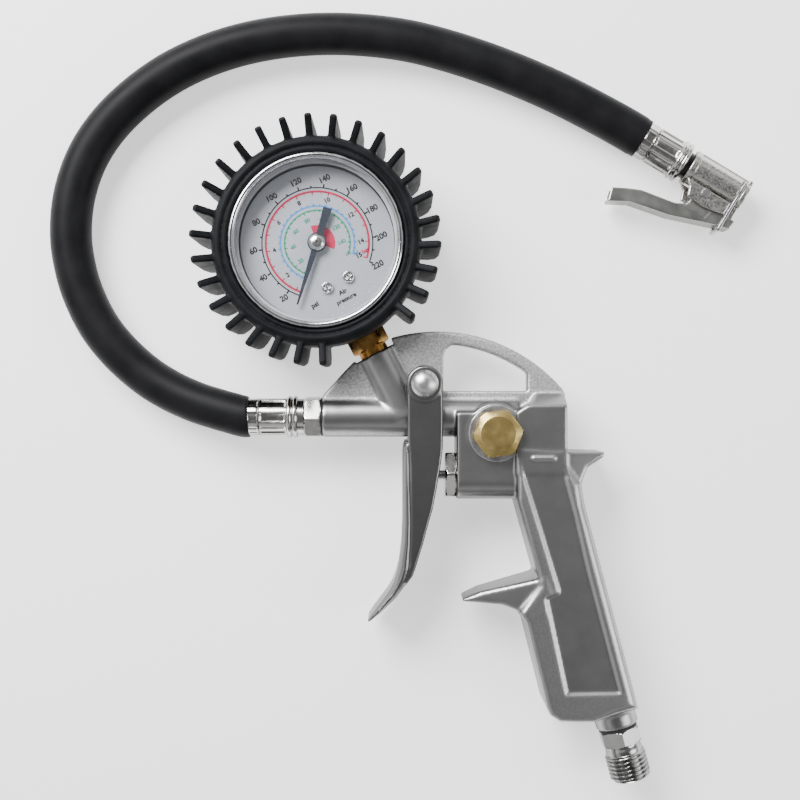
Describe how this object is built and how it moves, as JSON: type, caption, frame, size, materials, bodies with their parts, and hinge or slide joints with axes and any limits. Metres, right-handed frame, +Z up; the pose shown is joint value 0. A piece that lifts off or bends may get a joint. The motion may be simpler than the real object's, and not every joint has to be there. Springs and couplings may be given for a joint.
{
  "type": "tyre inflator with gauge",
  "caption": "Trigger-operated tyre inflator gun with a dial pressure gauge in a finned rubber boot and a short hose ending in a clip-on tyre chuck, lying on its side.",
  "frame": {"origin": "middle of the base of the gun and gauge as they lie on a surface, without the hose and chuck", "axes": "+X along the barrel towards the handle, +Y from the inlet towards the gauge, +Z up, out of the gauge's face"},
  "size_m": [0.2291, 0.2496, 0.0343],
  "materials": {
    "cast_metal": "satin die-cast alloy",
    "bright_nickel": "nickel plated",
    "steel": "drawn steel",
    "case_paint": "satin silver paint",
    "pale_seal": "pale matte",
    "brass": "satin brass",
    "bronze": "machined bronze",
    "seal_rubber": "matte",
    "washer_metal": "bright",
    "boot_rubber": "moulded rubber with a slight sheen",
    "bezel_chrome": "bright",
    "lens_clear": "clear",
    "dial_print": "satin silver with printed scales",
    "needle_paint": "matte paint",
    "hose_rubber": "smooth matte rubber"
  },
  "bodies": {
    "root": {"body_casting": "cast_metal", "trigger_rivet": "bright_nickel", "packing_nut": "bright_nickel", "stem_oring": "seal_rubber", "valve_seat": "brass", "valve_spring": "steel", "side_plug": "brass", "side_plug_washer": "washer_metal", "inlet_nipple": "bright_nickel", "inlet_gasket": "seal_rubber", "gauge_stem": "bronze", "gauge_case": "case_paint", "gauge_boot": "boot_rubber", "gauge_bezel": "bezel_chrome", "gauge_lens": "lens_clear", "lens_gasket": "pale_seal", "gauge_dial": "dial_print", "dial_screws": "bezel_chrome", "bourdon_tube": "bronze", "bourdon_tip": "bronze", "movement_frame": "brass", "hairspring": "steel", "hose_fitting": "bright_nickel", "outlet_gasket": "seal_rubber", "ferrule_gun": "bright_nickel", "hose": "hose_rubber", "ferrule_chuck": "bright_nickel", "chuck_nipple": "bright_nickel", "chuck_body": "bright_nickel", "chuck_seal": "seal_rubber", "chuck_depressor": "brass", "lever_pin": "bright_nickel", "lever_spring": "steel"},
    "trigger": {"trigger": "cast_metal"},
    "valve": {"valve_stem": "steel", "valve_poppet": "brass", "poppet_seal": "seal_rubber"},
    "needle": {"gauge_needle": "needle_paint", "needle_hub": "bezel_chrome", "pinion_arbor": "brass"},
    "sector": {"sector_gear": "brass"},
    "link": {"movement_link": "brass"},
    "lever": {"chuck_lever": "bright_nickel"},
    "jaw": {"jaw_plate": "bright_nickel"}
  },
  "joints": [
    {"name": "trigger_hinge", "type": "hinge", "parent": "root", "child": "trigger", "pos_m": [-0.0005, 0.0231, 0.0115], "axis": [0, 0, 1], "range_deg": [0, 7.5], "stiffness_Nm_per_rad": 1, "springref_deg": -5.73},
    {"name": "valve_slide", "type": "slide", "parent": "root", "child": "valve", "axis": [1, 0, 0], "range_m": [0, 0.004], "deforming": ["valve_spring"]},
    {"name": "sector_hinge", "type": "hinge", "parent": "root", "child": "sector", "pos_m": [-0.02787, 0.05493, 0.0115], "axis": [0, 0, 1], "range_deg": [0, 33.75], "stiffness_Nm_per_rad": 0.002},
    {"name": "needle_hinge", "type": "hinge", "parent": "root", "child": "needle", "pos_m": [-0.0341, 0.0669, 0.0115], "axis": [0, 0, 1], "range_deg": [-270.5, 0]},
    {"name": "link_hinge", "type": "hinge", "parent": "sector", "child": "link", "pos_m": [-0.02287, 0.05514, 0.0115], "axis": [0, 0, 1], "range_deg": [-34, 0]},
    {"name": "lever_hinge", "type": "hinge", "parent": "root", "child": "lever", "pos_m": [0.09028, 0.08452, 0.0067], "axis": [0, 0, -1], "range_deg": [0, 12], "stiffness_Nm_per_rad": 0.05, "springref_deg": -5.73},
    {"name": "jaw_slide", "type": "slide", "parent": "root", "child": "jaw", "axis": [-0.515, -0.8572, 0], "range_m": [0, 0.0021]}
  ],
  "couplings": [
    {"joint": "valve_slide", "follows": "trigger_hinge", "m_per_rad": 0.0293},
    {"joint": "needle_hinge", "follows": "sector_hinge", "ratio": -8},
    {"joint": "link_hinge", "follows": "sector_hinge", "ratio": -1},
    {"joint": "jaw_slide", "follows": "lever_hinge", "m_per_rad": 0.0095}
  ]
}
